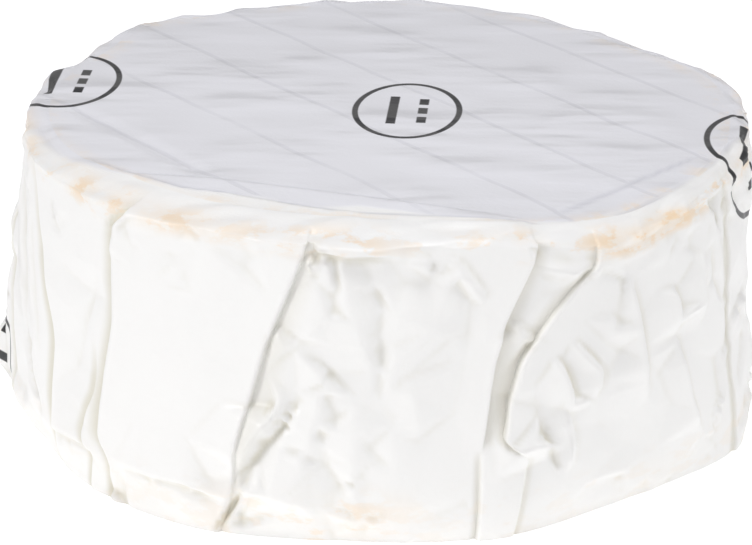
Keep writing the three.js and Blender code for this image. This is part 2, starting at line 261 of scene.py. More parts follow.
def chance_creases(count, angles, heights, lengths, rises, seed):
    """Creases that fall by chance in a stretch of the side, mostly upright."""
    usual_lean, most_bend, flanks = 0.5, 1.5, (1.2, 3)
    draw = np.random.default_rng(seed)
    creases = []
    for _ in range(count):
        angle, height = draw.uniform(*angles), draw.uniform(*heights)
        length, lean = draw.uniform(*lengths), draw.normal(0, usual_lean)
        rise = draw.uniform(*rises) * draw.choice([1, -1])
        across = math.degrees(0.5 * length * math.sin(lean) / WHEEL_RADIUS)
        up = 0.5 * length * math.cos(lean)
        bend = draw.uniform(-most_bend, most_bend)
        path = [(angle + across, height + up), (angle + bend, height), (angle - across, height - up)]
        creases.append((rise, draw.uniform(*flanks), draw.uniform(*flanks), path))
    return creases


# Stretches of chance creases: how many, angles, heights, lengths, how far they rise, seed
CHANCE_CREASES = [
    (75, (72, 275), (3, 48), (7, 20), (0.5, 1.1), 5),
    (6, (-18, 12), (4, 46), (5, 12), (0.4, 0.6), 8),
    (8, (58, 72), (6, 44), (8, 16), (0.5, 0.9), 9),
    (46, (-95, 85), (44, 50.5), (4, 8), (0.35, 0.7), 12),
    (30, (-95, 85), (0, 7), (3, 7), (0.3, 0.6), 13),
]
CREASES = [(CREASE_DEPTH * rise, left, right, path) for rise, left, right, path in FRONT_CREASES]
for stretch in CHANCE_CREASES:
    CREASES += chance_creases(*stretch)


def unroll(angle):
    """Distance round the side from the front, from half a turn on the left to half on the right."""
    return WHEEL_RADIUS * np.radians((np.asarray(angle, dtype=float) + 180) % 360 - 180)


UPRIGHT_SWELL, SLANTING_SWELL = 0.3, 0.25


def crumple_depth(s):
    """How far the facets stand in or out at a distance round the side."""
    return np.interp(np.degrees(s / WHEEL_RADIUS), CRUMPLE[:, 0], CRUMPLE[:, 1])


def swell(s, z):
    """Broad swells of the side that the creases lie on, deeper where the paper is more crumpled."""
    upright = np.sin(s / 2.9 + 0.9 * np.sin(z / 8.0) + 1.3)
    slanting = np.sin(z / 4.4 + s / 5.2 + 0.4)
    return crumple_depth(s) * (UPRIGHT_SWELL * upright + SLANTING_SWELL * slanting)


LOOSE_COLUMNS, LOOSE_ROWS = 56, 11
LOOSE_CLEARANCE = 2.2      # how far a loose corner keeps from the creases
LOOSE_BOTTOM = -7.0        # the loose corners start below the side, so that facets cover all of it
LOOSE_HEIGHTS = (-1, 0.7)


def crease_corners():
    """Corners of the crumpled side: crests of the creases, their feet, and loose ones in between."""
    crests, feet = [], []
    for rise, left, right, path in CREASES:
        points = np.array(path, dtype=float)
        points[:, 0] = unroll(points[0, 0]) + WHEEL_RADIUS * np.radians(points[:, 0] - points[0, 0])
        lengths = np.hypot(*np.diff(points, axis=0).T)
        run = np.concatenate([[0.0], np.cumsum(lengths)])
        at = np.linspace(0, run[-1], max(4, round(run[-1] / CREST_SPACING)))
        crest = np.stack([np.interp(at, run, points[:, 0]), np.interp(at, run, points[:, 1])], axis=1)
        along = np.gradient(crest, axis=0)
        along /= np.linalg.norm(along, axis=1, keepdims=True)
        aside = np.stack([-along[:, 1], along[:, 0]], axis=1)
        share = at / run[-1]
        taper = np.clip(np.minimum(share, 1 - share) / CREASE_TAPER, 0, 1)
        heights = rise * (CREASE_END + (1 - CREASE_END) * taper)
        crests += [(*place, height) for place, height in zip(crest, heights)]
        for side, width in ((1, right), (-1, left)):
            if width > STEEP_WIDTH:
                continue
            feet += [(*place, swell(*place)) for place in (crest + side * width * aside)[1:-1:2]]
    crests, feet = np.array(crests), np.array(feet)
    clear = [np.hypot(*(crests[:, :2] - foot[:2]).T).min() > FOOT_CLEARANCE for foot in feet]
    pressed = np.concatenate([crests, feet[clear]])

    draw = np.random.default_rng(17)
    cell = CIRCUMFERENCE / LOOSE_COLUMNS
    loose = []
    for i in range(LOOSE_COLUMNS):
        for j in range(LOOSE_ROWS):
            s = -CIRCUMFERENCE / 2 + (i + draw.uniform(0.1, 0.9)) * cell
            z = LOOSE_BOTTOM + (j + draw.uniform(0.1, 0.9)) * cell
            height = crumple_depth(s) * draw.uniform(*LOOSE_HEIGHTS)
            if np.hypot(pressed[:, 0] - s, pressed[:, 1] - z).min() > LOOSE_CLEARANCE:
                loose.append((s, z, height))
    return np.concatenate([pressed, np.array(loose)])


RUN_ON = 30.0              # how far the unrolled side runs on past the join at the back


def crumpled_side():
    """The side's facets as a surface over the unrolled side, run on past the join at the back."""
    corners = crease_corners()
    turn = np.array([CIRCUMFERENCE, 0.0, 0.0])
    margin = CIRCUMFERENCE / 2 - RUN_ON
    corners = np.concatenate([
        corners, corners[corners[:, 0] < -margin] + turn, corners[corners[:, 0] > margin] - turn])
    places, _, faces, origins, _, _ = delaunay_2d_cdt(
        [Vector(corner[:2]) for corner in corners], [], [], 0, 1e-5)
    surface = [(*place, corners[origin[0], 2]) for place, origin in zip(places, origins)]
    return BVHTree.FromPolygons(surface, faces)


CRUMPLED = crumpled_side()
ABOVE_FACETS = 20.0        # a height that clears every facet
CREASE_ROUNDING = 0.3


def facet_heights(s, z):
    """Height of the facets at points of the unrolled side that lie level with each other."""
    down = Vector((0, 0, -1))
    return np.array([CRUMPLED.ray_cast((each, z, ABOVE_FACETS), down)[0].z for each in s])


def crumple_relief(angle, height):
    """Relief of the creases and facets at points of the side, with the creases a little rounded."""
    nearby = ((0, 0), (1, 0), (-1, 0), (0.5, 0.87), (-0.5, 0.87), (0.5, -0.87), (-0.5, -0.87))
    relief = np.zeros(len(angle))
    for across, up in nearby:
        relief += facet_heights(unroll(angle) + across * CREASE_ROUNDING, height + up * CREASE_ROUNDING)
    return relief / len(nearby)


# Painted shade in the hollows of the crumpled side: how far round a hollow reaches, and how strongly it is
# darkened
CAVITY_REACH = 1.4
CAVITY_SHADE = 1.0
CAVITY_START = 0.06        # shallower hollows aren't shaded


def crumple_cavity(angle, height):
    """How far each point of the side lies below the paper around it."""
    sides = ((-1, 0), (1, 0), (0, -1), (0, 1))
    s = unroll(angle)
    nearby = np.zeros(len(s))
    for across, up in sides:
        nearby += facet_heights(s + across * CAVITY_REACH, height + up * CAVITY_REACH)
    return nearby / len(sides) - facet_heights(s, height)


def rim_lumps(s, share, count=72, rows=8, rows_used=3, seed=41):
    """Small flat facets along the rim, closed round the wheel, at a share of the way over the edge."""
    table = np.random.default_rng(seed).uniform(-1, 1, (count, rows))
    u, v = s / CIRCUMFERENCE * count, rows_used * share
    i, j = np.floor(u).astype(int), int(v)
    fu, fv = u - i, v - j

    def corner(across, down):
        return table[(i + across) % count, j + down]

    first, last = corner(0, 0), corner(1, 1)
    lower = first + fu * (corner(1, 0) - first) + fv * (corner(0, 1) - first)
    upper = last + (1 - fu) * (corner(0, 1) - last) + (1 - fv) * (corner(1, 0) - last)
    return np.where(fu + fv < 1, lower, upper)


# Mesh columns follow the pleats, closer at the front. Rows run from the top's middle to the underside's.
FRONT_SPACING, FAR_SPACING = 0.44, 1.1
FRONT_STRETCH = (-100, 85)
LEAST_COLUMNS = 10                                       # in a panel between two pleats
EDGE_CROWDING = 0.08                                     # how far columns draw towards a panel's edges
FACE_PLACES = np.array([0.12, 0.3, 0.5, 0.7, 0.88])      # columns across a steep face, from its raised side
FACE_FALL = np.array([0.05, 0.24, 0.52, 0.78, 0.95])     # how far each has dropped
FACE_LEAN = np.array([0.85, 1.0, 0.72, 0.3, 0.08])       # how far each leans over
SHOULDER_ROWS, WALL_ROWS, FOOT_ROWS = 16, 74, 12
TOP_ZONES = [(4, 0.0, 0.3, 8), (2, 0.3, 0.66, 16), (1, 0.66, 1.0, 26)]    # column stride, from, to, rows
UNDER_ZONES = [(2, 1.0, 0.6, 5), (4, 0.6, 0.0, 4)]


def panel_shares():
    """Shares across each panel between neighbouring pleats, closer together near both edges."""
    angles = along_pleats(WHEEL_HEIGHT / 2)[0]
    ends = np.append(angles[1:], angles[0] + 360)
    counts = []
    for start, end in zip(angles, ends):
        at_front = FRONT_STRETCH[0] < start < FRONT_STRETCH[1]
        spacing = FRONT_SPACING if at_front else FAR_SPACING
        counts.append(max(LEAST_COLUMNS, round((end - start) / spacing)))
    columns = sum(counts) + len(counts) * (1 + len(FACE_PLACES))
    counts[-1] += -columns % max(stride for stride, *_ in TOP_ZONES)
    evens = [np.linspace(0, 1, count + 1) for count in counts]
    return [even - EDGE_CROWDING * np.sin(2 * math.pi * even) for even in evens]


SHARES = panel_shares()


def side_row(height, fade):
    """Angle, pleat relief and painted crevice shade of every column at a height on the side."""
    angles, steps, crevices = along_pleats(height)
    face_angle = math.degrees(PLEAT_FACE / WHEEL_RADIUS)
    count = len(PLEATS)
    panels = []
    for k in range(count):
        n = (k + 1) % count
        start = angles[k] + face_angle
        end = angles[n] + (360 if n == 0 else 0) - face_angle
        angle = start + SHARES[k] * (end - start)
        span = WHEEL_RADIUS * math.radians(end - start)
        on_right = beside_pleat(steps[k], 1, span * SHARES[k], crevices[k])
        on_left = beside_pleat(steps[n], -1, span * (1 - SHARES[k]), crevices[n])
        shade = CREVICE_SHADE_STRENGTHS[k] * on_right[1] + CREVICE_SHADE_STRENGTHS[n] * on_left[1]
        panels.append([angle, on_right[0] + on_left[0], shade])
    parts = []
    for k in range(count):
        before, after = panels[k - 1], panels[k]
        low, high = before[1][-1], after[1][0]
        edge = before[0][-1] - (360 if k == 0 else 0)
        raised_left = low > high
        places = FACE_PLACES if raised_left else 1 - FACE_PLACES[::-1]
        fall = FACE_FALL if raised_left else 1 - FACE_FALL[::-1]
        lean = FACE_LEAN if raised_left else -FACE_LEAN[::-1]
        reach = PLEAT_OVERHANG * abs(high - low) * fade
        lean_angle = np.degrees(lean * reach / WHEEL_RADIUS)
        shade = before[2][-1] + fall * (after[2][0] - before[2][-1])
        face = [edge + places * (after[0][0] - edge) + lean_angle, low + fall * (high - low), shade]
        parts += [face, after]
    angle, relief, shade = (np.concatenate([part[i] for part in parts]) for i in range(3))
    return angle, relief * fade, shade * fade


def top_plane(distance, angle):
    """Height of the tilted plane of the top."""
    return WHEEL_HEIGHT - TOP_TILT * (0.5 + 0.5 * np.sin(np.radians(angle)) * distance / WHEEL_RADIUS)


def rim_at(angle):
    """Radius and height of the side's upper edge, and of the flat top's edge inside it."""
    drop = around(DROP, angle)
    rim_radius = WHEEL_RADIUS + around(RIM, angle)
    edge_radius = rim_radius - around(SHOULDER, angle)
    rim_height = top_plane(rim_radius, angle) - drop
    edge_height = top_plane(edge_radius, angle) - SAG_SHARE * (drop - BASE_RIM_DROP)
    return rim_radius, rim_height, edge_radius, np.minimum(edge_height, WHEEL_HEIGHT)


# Folds across the top, as paths in the wheel's plan with the raised layer on the right of the path:
# rise, how far it takes to die away in front, and the path
TOP_FOLDS = [
    (0.5, 9.0, [(-52, -22), (-40.6, -32.4), (-28.4, -34), (-15.6, -38.1), (-1, -42.9), (10, -46.7),
                (25, -51.5)]),
    (0.45, 6.0, [(-44, -31), (-32.3, -39.2), (-24.9, -41.6), (-12.9, -47), (-1, -51)]),
    (0.4, 5.0, [(-8.7, -48.3), (-4, -49.8), (6.6, -50.9), (14.3, -51.4), (20.4, -51.8), (27, -53)]),
    (0.25, 5.0, [(52, -18), (41, -30), (24, -48.5)]),
    (0.2, 4.0, [(48, -33.5), (46.1, -35.9), (29, -52)]),
]
TOP_FOLD_FACE = 0.4       # half the width of a fold's steep face
FOLD_SHADOW_HALF_WIDTH = 0.5            # half the width of the painted shadow line along a fold
FOLD_ENDS, SHADOW_LINE_ENDS, DENT_ENDS = 0.12, 0.2, 0.15    # share of a path over which each end dies away
# A crease pressed in across the left of the top
TOP_DENT = (-0.55, 2.4, [(-53, 1.5), (-40.7, -14.5), (-27, -34)])


def off_path(x, y, path):
    """Distance from a path, positive on its right, and how far along it the nearest point is."""
    nearest = np.full(x.shape, 1e9)
    signed, run = np.zeros_like(x), np.zeros_like(x)
    points = np.array(path, dtype=float)
    lengths = np.hypot(*np.diff(points, axis=0).T)
    starts = np.concatenate([[0.0], np.cumsum(lengths)])
    for (x0, y0), (x1, y1), length, start in zip(points, points[1:], lengths, starts):
        t = np.clip(((x - x0) * (x1 - x0) + (y - y0) * (y1 - y0)) / length ** 2, 0, 1)
        off_x, off_y = x - x0 - t * (x1 - x0), y - y0 - t * (y1 - y0)
        distance = np.hypot(off_x, off_y)
        closer = distance < nearest
        side = np.sign((y1 - y0) * off_x - (x1 - x0) * off_y)
        signed = np.where(closer, side * distance, signed)
        run = np.where(closer, (start + t * length) / starts[-1], run)
        nearest = np.minimum(nearest, distance)
    return signed, run


def within_ends(run, share):
    return smooth(0, share, run) * smooth(0, share, 1 - run)


def fold_shadow_lines(x, y):
    """Painted shadow lines beside the folds of the top, just off the raised layer of each."""
    lines = np.zeros_like(x)
    for _, _, path in TOP_FOLDS:
        signed, run = off_path(x, y, path)
        line = np.exp(-((signed + FOLD_SHADOW_HALF_WIDTH) / FOLD_SHADOW_HALF_WIDTH) ** 2)
        lines = np.maximum(lines, within_ends(run, SHADOW_LINE_ENDS) * line)
    return lines


def top_relief(x, y):
    """Height of the folds and the crease of the top above its plane."""
    relief = np.zeros_like(x)
    for rise, width, path in TOP_FOLDS:
        signed, run = off_path(x, y, path)
        face = smooth(-TOP_FOLD_FACE, TOP_FOLD_FACE, signed)
        relief += rise * within_ends(run, FOLD_ENDS) * face * np.clip(1 - signed / width, 0, 1)
    depth, width, path = TOP_DENT
    signed, run = off_path(x, y, path)
    relief += depth * within_ends(run, DENT_ENDS) * np.clip(1 - np.abs(signed) / width, 0, 1)
    return relief


# How far out the top's painted shade reaches before the white turn of the edge, the top drawn greyer as less
# light falls on it than on the side: angle, radius
TOP_SHADE_REACH = np.array([
    (-180, 68.0), (-110, 68.0), (-82, 59.0), (-62, 56.5), (-50, 53.0), (-37, 50.5), (-25, 46.8),
    (-15, 48.5), (-5, 46.5), (3, 48.5), (10, 51.5), (22, 55.0), (30, 57.0), (45, 58.0), (60, 57.0),
    (75, 58.0), (110, 68.0), (180, 68.0),
])
TOP_SHADE_EDGE = 0.9   # half the width over which it gives way


def painted_top_shade(angle, distance):
    """Share of the top's painted shade at a place on the top or its edge."""
    turned = (angle + 180) % 360 - 180
    edge = np.interp(turned, TOP_SHADE_REACH[:, 0], TOP_SHADE_REACH[:, 1])
    return smooth(edge + TOP_SHADE_EDGE, edge - TOP_SHADE_EDGE, distance)


# How strongly the rind shows at the upper edge and at the lower edge: angle, upper, lower
RIND = np.array([
    (-180, 0.35, 0.2), (-150, 0.8, 0.25), (-128, 0.9, 0.25), (-100, 0.4, 0.3), (-78, 0.4, 0.1),
    (-62, 1.0, 0.1), (-48, 0.95, 0.1), (-30, 0.8, 0.15), (-23, 0.4, 0.2), (-14, 0.8, 0.3),
    (-5, 0.9, 0.5), (1, 0.3, 0.2), (7, 0.5, 0.1), (12, 0.4, 0.1), (18, 1.0, 0.1), (24, 0.85, 0.1),
    (29, 0.5, 0.08), (37, 1.4, 0.1), (48, 1.4, 0.12), (58, 1.0, 0.12), (75, 0.8, 0.15),
    (105, 0.8, 0.3), (140, 0.6, 0.25), (180, 0.35, 0.2),
])
TOP_EDGE_RIND, TOP_EDGE_START = 0.35, 0.93       # rind at the edge of the flat top, and where it starts
SHOULDER_RIND_PLACE, SHOULDER_RIND_WIDTH = 0.75, 0.3   # both as shares of the way over the edge
UPPER_RIND, UPPER_RIND_WIDTH = 0.85, 0.035       # rind at the top of the side, width as a share of it
LOWER_RIND, LOWER_RIND_WIDTH = 0.7, 0.06
RIM_LUMP, RIM_LUMP_LIFT = 0.9, 0.8               # size of the rim's lumps, and the share that stands upwards
SHOULDER_LENGTH = 0.6     # length of sheet that goes over the edge, as a share of the drop
FOOT_FLATTENING = 0.5     # share of the creases that is pressed flat at the base
TUCK, TUCK_SHARE, MOST_TUCK = 0.25, 0.5, 0.9     # usual lift of the underside, share added by pleats, limit


def paper_rows():
    """Every row of the paper, each point as place, place on the flat sheet, rind, painted crevice shade and
    painted top shade.
    """
    rim_level = WHEEL_HEIGHT - BASE_RIM_DROP
    rows = []

    def add(angle, distance, z, unrolled, upper_rind, lower_rind, crevice, flat, pressed=0, stride=1):
        turned = (angle + 180) % 360 - 180
        rind = (upper_rind * np.interp(turned, RIND[:, 0], RIND[:, 1])
                + lower_rind * np.interp(turned, RIND[:, 0], RIND[:, 2]))
        t = np.radians(angle)
        full = np.ones_like(angle)
        row = np.stack([
            distance * np.sin(t), -distance * np.cos(t), z * full,
            unrolled * np.sin(t), -unrolled * np.cos(t), rind * full, crevice * full, flat * full,
            pressed * full,
        ], axis=1)
        rows.append(row[::stride])

    # Painted shade of a point: its pleat crevice's painted shade plus painted shade in the crumpled side's
    # hollows
    def crevice_at(angle, height, shade):
        hollow = np.clip(crumple_cavity(angle, height) - CAVITY_START, 0, 1)
        return np.clip(shade + CAVITY_SHADE * hollow, 0, 1)

    def curve(share, angle):
        turn = share * math.pi / 2
        away = np.abs((angle - ROUND_MIDDLE + 180) % 360 - 180)
        power = 2 / (FRONT_ROUND + (FAR_ROUND - FRONT_ROUND) * smooth(*ROUND_CHANGE, away))
        return math.sin(turn) ** power, max(math.cos(turn), 0.0) ** power

    # The flat top, out to its edge
    angle, _, _ = side_row(rim_level, 0.0)
    rim_radius, rim_height, edge_radius, edge_height = rim_at(angle)
    sag = top_plane(edge_radius, angle) - edge_height
    t = np.radians(angle)
    for stride, start, end, count in TOP_ZONES:
        for share in start + (end - start) * np.arange(1, count + 1) / count:
            distance = share * edge_radius
            x, y = distance * np.sin(t), -distance * np.cos(t)
            z = top_plane(distance, angle) - sag * share ** SAG_POWER + top_relief(x, y)
            rind = TOP_EDGE_RIND * smooth(TOP_EDGE_START, 1.0, share)
            top_shade = painted_top_shade(angle, distance)
            add(angle, distance, z, distance, rind, 0, 0, top_shade, fold_shadow_lines(x, y), stride)
    edge_relief = top_relief(edge_radius * np.sin(t), -edge_radius * np.cos(t))

    # The shoulder, over the upper edge
    for row in range(1, SHOULDER_ROWS):
        share = row / SHOULDER_ROWS
        angle, relief, shade = side_row(rim_level, share ** 2)
        out, up = curve(share, angle)
        distance = edge_radius + (rim_radius - edge_radius) * out
        z = rim_height + (edge_height - rim_height) * up + edge_relief * (1 - share)
        bulge = RIM_LUMP * rim_lumps(unroll(angle), share) * math.sin(math.pi * share)
        bulge = bulge + share ** 2 * crumple_relief(angle, rim_level)
        rind = math.exp(-((share - SHOULDER_RIND_PLACE) / SHOULDER_RIND_WIDTH) ** 2)
        unrolled = distance + SHOULDER_LENGTH * (edge_height - z)
        top_shade = painted_top_shade(angle, distance)
        add(angle, distance + relief + bulge * out, z + RIM_LUMP_LIFT * bulge * up, unrolled,
            rind, 0, shade, top_shade)
    rolled_over = rim_radius + SHOULDER_LENGTH * (edge_height - rim_height)

    # The pleated side
    for row in range(WALL_ROWS):
        share = row / WALL_ROWS
        height = rim_level + (FOOT_HEIGHT - rim_level) * share
        angle, relief, shade = side_row(height, 1.0)
        rim_radius, rim_height, _, _ = rim_at(angle)
        foot_radius = WHEEL_RADIUS + around(FOOT, angle)
        z = rim_height + (FOOT_HEIGHT - rim_height) * share
        distance = rim_radius + (foot_radius - rim_radius) * share + relief + crumple_relief(angle, height)
        upper_rind = UPPER_RIND * math.exp(-(share / UPPER_RIND_WIDTH) ** 2)
        lower_rind = LOWER_RIND * math.exp(-((1 - share) / LOWER_RIND_WIDTH) ** 2)
        add(angle, distance, z, rolled_over + rim_height - z, upper_rind, lower_rind,
            crevice_at(angle, height, shade), 0)

    # The foot, turning under
    rolled_down = rolled_over + rim_height - FOOT_HEIGHT
    angle, _, _ = side_row(FOOT_HEIGHT, 1.0)
    foot_radius = WHEEL_RADIUS + around(FOOT, angle)
    base_radius = WHEEL_RADIUS + around(BASE, angle)
    for row in range(FOOT_ROWS + 1):
        share = row / FOOT_ROWS
        height = FOOT_HEIGHT * (1 - math.sin(share * math.pi / 2) ** (2 / FRONT_ROUND))
        angle, relief, shade = side_row(height, 1.0)
        out = curve(share, angle)[1]
        distance = base_radius + (foot_radius - base_radius) * out + relief
        distance = distance + crumple_relief(angle, height) * (1 - FOOT_FLATTENING * share)
        add(angle, distance, height, rolled_down + FOOT_HEIGHT - height, 0, 1.0,
            crevice_at(angle, height, shade), 0)

    # The underside, tucked up a little where the pleats gather
    for stride, start, end, count in UNDER_ZONES:
        for share in start + (end - start) * np.arange(1, count + 1)[:count - (end == 0)] / count:
            tuck = np.clip(TUCK + TUCK_SHARE * relief, 0, MOST_TUCK)
            tuck = tuck * smooth(1.0, 0.85, share) * smooth(0.1, 0.4, share)
            unrolled = rolled_down + FOOT_HEIGHT + base_radius * (1 - share)
            add(angle, share * base_radius, tuck, unrolled, 0, 0, 0, 0, 0, stride)
    return rows


def ring_faces(rows):
    """Faces between neighbouring rows, where a row has as many points as the next, half or twice."""
    starts = np.concatenate([[0], np.cumsum([len(row) for row in rows])])
    faces = []
    for k in range(len(rows) - 1):
        a, b = starts[k], starts[k + 1]
        n, m = len(rows[k]), len(rows[k + 1])
        here = np.arange(min(n, m))
        beside = (here + 1) % min(n, m)
        if n == m:
            faces += np.stack([a + here, b + here, b + beside, a + beside], axis=1).tolist()
            continue
        fine, half_way, fine_next = 2 * here, 2 * here + 1, (2 * here + 2) % max(n, m)
        if m > n:
            fans = [(a + here, b + fine, b + half_way), (a + here, b + half_way, a + beside),
                    (a + beside, b + half_way, b + fine_next)]
        else:
            fans = [(a + fine, b + here, a + half_way), (a + half_way, b + here, b + beside),
                    (a + half_way, b + beside, a + fine_next)]
        for fan in fans:
            faces += np.stack(fan, axis=1).tolist()
    return faces


UNDERSIDE_LIFT = 0.4      # how high the middle of the underside stands


def paper_mesh():
    """One closed skin, with a fan at the middle of the top and another underneath."""
    rows = paper_rows()
    faces = ring_faces(rows)
    middle_top = [(0, 0, top_plane(0.0, 0.0), 0, 0, 0, 0, 1, 0)]
    middle_under = [(0, 0, UNDERSIDE_LIFT, 0, 0, 0, 0, 0, 0)]
    points = np.concatenate(rows + [middle_top, middle_under])
    top, under = len(points) - 2, len(points) - 1
    first, last = len(rows[0]), len(rows[-1])
    faces += [(top, i, (i + 1) % first) for i in range(first)]
    faces += [(under, under - 1 - last + (i + 1) % last, under - 1 - last + i) for i in range(last)]
    places = points[:, :3] + np.array([*WHEEL_AXIS, 0.0])
    mesh = bpy.data.meshes.new("wrapping_paper")
    mesh.from_pydata((places * MM).tolist(), [], faces)
    mesh.polygons.foreach_set("use_smooth", np.ones(len(mesh.polygons), dtype=bool))
    sheet = np.concatenate([points[:, 3:5] * MM, np.zeros((len(points), 1))], axis=1)
    mesh.attributes.new("sheet", "FLOAT_VECTOR", "POINT").data.foreach_set("vector", sheet.ravel())
    # crevice holds painted crevice shade, flat_top the share of painted top shade, pressed the painted
    # shadow lines beside the top's folds
    for column, name in ((5, "rind"), (6, "crevice"), (7, "flat_top"), (8, "pressed")):
        mesh.attributes.new(name, "FLOAT", "POINT").data.foreach_set("value", points[:, column].copy())
    mesh.update()
    return mesh


PAPER_WHITE = (0.91, 0.906, 0.892, 1.0)
# painted shade of the top, greyer and bluer than the side
TOP_PAINTED_SHADE = (0.80, 0.80, 0.835, 1.0)
# painted shade of the pleats' crevices and the crumples' hollows
PAINTED_CREVICE_SHADE = (0.70, 0.67, 0.56, 1.0)
RIND_TONE = (0.91, 0.80, 0.67, 1.0)
RIND_SPOT = (0.88, 0.68, 0.46, 1.0)
INK = (0.012, 0.012, 0.014, 1.0)
# painted shade of the top's faint grooves and painted shadow beside its folds
PAINTED_LINE_SHADE = (0.60, 0.60, 0.65, 1.0)
PAPER_ROUGHNESS, PAPER_SHEEN = 0.34, 0.6
# How strongly each tone takes over the paper's own where it is fullest
CREVICE_SHADE_MIX, PATCH_MIX, SPOT_MIX, RULE_MIX, FOLD_SHADOW_MIX = 0.85, 0.7, 0.75, 0.36, 0.65

# Plain oval stamps printed on the sheet: place of the middle on the sheet
STAMP_PLACES = [(3.4, 0.5), (-54.5, 14.3), (61.0, -12.9), (-101.5, 4.0), (103.5, 15.0)]
STAMP_TURN = math.radians(-4)
STAMP_HALF_LENGTH, STAMP_HALF_WIDTH, STAMP_LINE = 13.75, 8.7, 0.5
# Bars inside the oval: middle and half size, along it and across it
STAMP_BARS = [(0.0, -2.4, 7.0, 0.8)] + [(along, 2.6, 1.5, 0.8) for along in (-4.6, 0.0, 4.6)]
STAMP_SOFTNESS = 0.12

# Faint straight grooves across the top, all at one slant and one spacing, with painted shade along them
RULE_DIRECTION = (0.797, 0.604)
RULE_SPACING, RULE_START, RULE_WIDTH, RULE_WOBBLE = 17.3, -24.2, 0.75, 2.4

# Heights of the fine wrinkles of the top, of the paper's grain and of a pressed line
STREAK_HEIGHT, GRAIN_HEIGHT, RULE_DEPTH = 3.0, 0.1, 0.25


